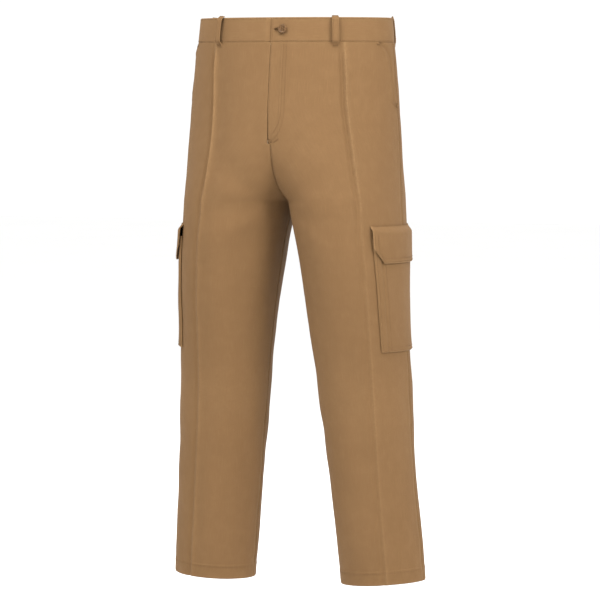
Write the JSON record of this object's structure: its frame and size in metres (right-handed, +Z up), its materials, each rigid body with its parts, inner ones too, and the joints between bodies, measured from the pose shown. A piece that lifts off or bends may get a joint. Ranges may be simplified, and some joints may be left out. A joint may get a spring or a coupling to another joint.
{
  "type": "cargo work trousers",
  "caption": "Straight-leg cargo work trousers with fly zip, waist button, belt loops, slanted hand pockets and flapped thigh pockets.",
  "frame": {"origin": "centre of the waist opening, level with the top edge of the waistband", "axes": "+Z up, -Y the front of the trousers, +X the wearer's left"},
  "size_m": [0.482, 0.2735, 1.048],
  "materials": {
    "twill_cloth": "tan cotton-rich twill, matt, pressed",
    "band_lining": "plain lining tape, matt",
    "pocketing": "plain pocketing, matt",
    "zip_tape": "woven zip tape, matt",
    "hook_and_loop": "hook and loop tape, matt",
    "zip_metal": "satin brass",
    "button_plastic": "moulded plastic, semi-gloss",
    "sewing_thread": "spun polyester thread"
  },
  "bodies": {
    "trousers": {"left_front_panel": "twill_cloth", "right_front_panel": "twill_cloth", "left_back_panel": "twill_cloth", "right_back_panel": "twill_cloth", "left_hem_facing": "twill_cloth", "right_hem_facing": "twill_cloth", "left_waistband": "twill_cloth", "right_waistband": "twill_cloth", "left_front_belt_loop": "twill_cloth", "right_front_belt_loop": "twill_cloth", "left_side_belt_loop": "twill_cloth", "right_side_belt_loop": "twill_cloth", "left_rear_belt_loop": "twill_cloth", "right_rear_belt_loop": "twill_cloth", "centre_back_belt_loop": "twill_cloth", "fly_facing": "twill_cloth", "fly_shield": "twill_cloth", "left_hand_pocket_facing": "twill_cloth", "right_hand_pocket_facing": "twill_cloth", "left_rear_pocket_welt": "twill_cloth", "right_rear_pocket_welt": "twill_cloth", "left_cargo_pocket": "twill_cloth", "right_cargo_pocket": "twill_cloth", "left_waistband_lining": "band_lining", "right_waistband_lining": "band_lining", "left_hand_pocket_bag": "pocketing", "right_hand_pocket_bag": "pocketing", "left_rear_pocket_bag": "pocketing", "right_rear_pocket_bag": "pocketing", "left_zip_tape": "zip_tape", "right_zip_tape": "zip_tape", "left_pocket_loop_tape": "hook_and_loop", "right_pocket_loop_tape": "hook_and_loop", "left_zip_chain": "zip_metal", "right_zip_chain": "zip_metal", "left_zip_top_stop": "zip_metal", "right_zip_top_stop": "zip_metal", "zip_bottom_stop": "zip_metal", "left_rear_pocket_button": "button_plastic", "right_rear_pocket_button": "button_plastic", "waist_button_thread": "sewing_thread"},
    "left_flap": {"left_cargo_flap": "twill_cloth", "left_flap_hook_tape": "hook_and_loop"},
    "right_flap": {"right_cargo_flap": "twill_cloth", "right_flap_hook_tape": "hook_and_loop"},
    "fly_edge": {"fly_lap": "twill_cloth"},
    "slider": {"zip_slider": "zip_metal"},
    "pull": {"zip_pull": "zip_metal"},
    "button": {"waist_button": "button_plastic"}
  },
  "joints": [
    {"name": "left_flap_hinge", "type": "hinge", "parent": "trousers", "child": "left_flap", "pos_m": [0.21068, -0.01731, -0.378], "axis": [0, -1, 0], "range_deg": [0, 105]},
    {"name": "right_flap_hinge", "type": "hinge", "parent": "trousers", "child": "right_flap", "pos_m": [-0.21068, -0.01731, -0.378], "axis": [0, 1, 0], "range_deg": [0, 105]},
    {"name": "fly_lap_lift", "type": "hinge", "parent": "trousers", "child": "fly_edge", "pos_m": [0.017, -0.12523, -0.0453], "axis": [0, 0.1076, 0.9942], "range_deg": [0, 50]},
    {"name": "zip_slide", "type": "slide", "parent": "trousers", "child": "slider", "axis": [0, -0.097, -0.9953], "range_m": [0, 0.132]},
    {"name": "zip_pull_tilt", "type": "hinge", "parent": "slider", "child": "pull", "pos_m": [0.007, -0.11799, -0.06613], "axis": [-1, 0, 0], "range_deg": [0, 9]},
    {"name": "waist_button_tilt", "type": "hinge", "parent": "trousers", "child": "button", "pos_m": [0.01813, -0.12055, -0.0217], "axis": [1, 0, 0], "range_deg": [-10, 10]}
  ]
}
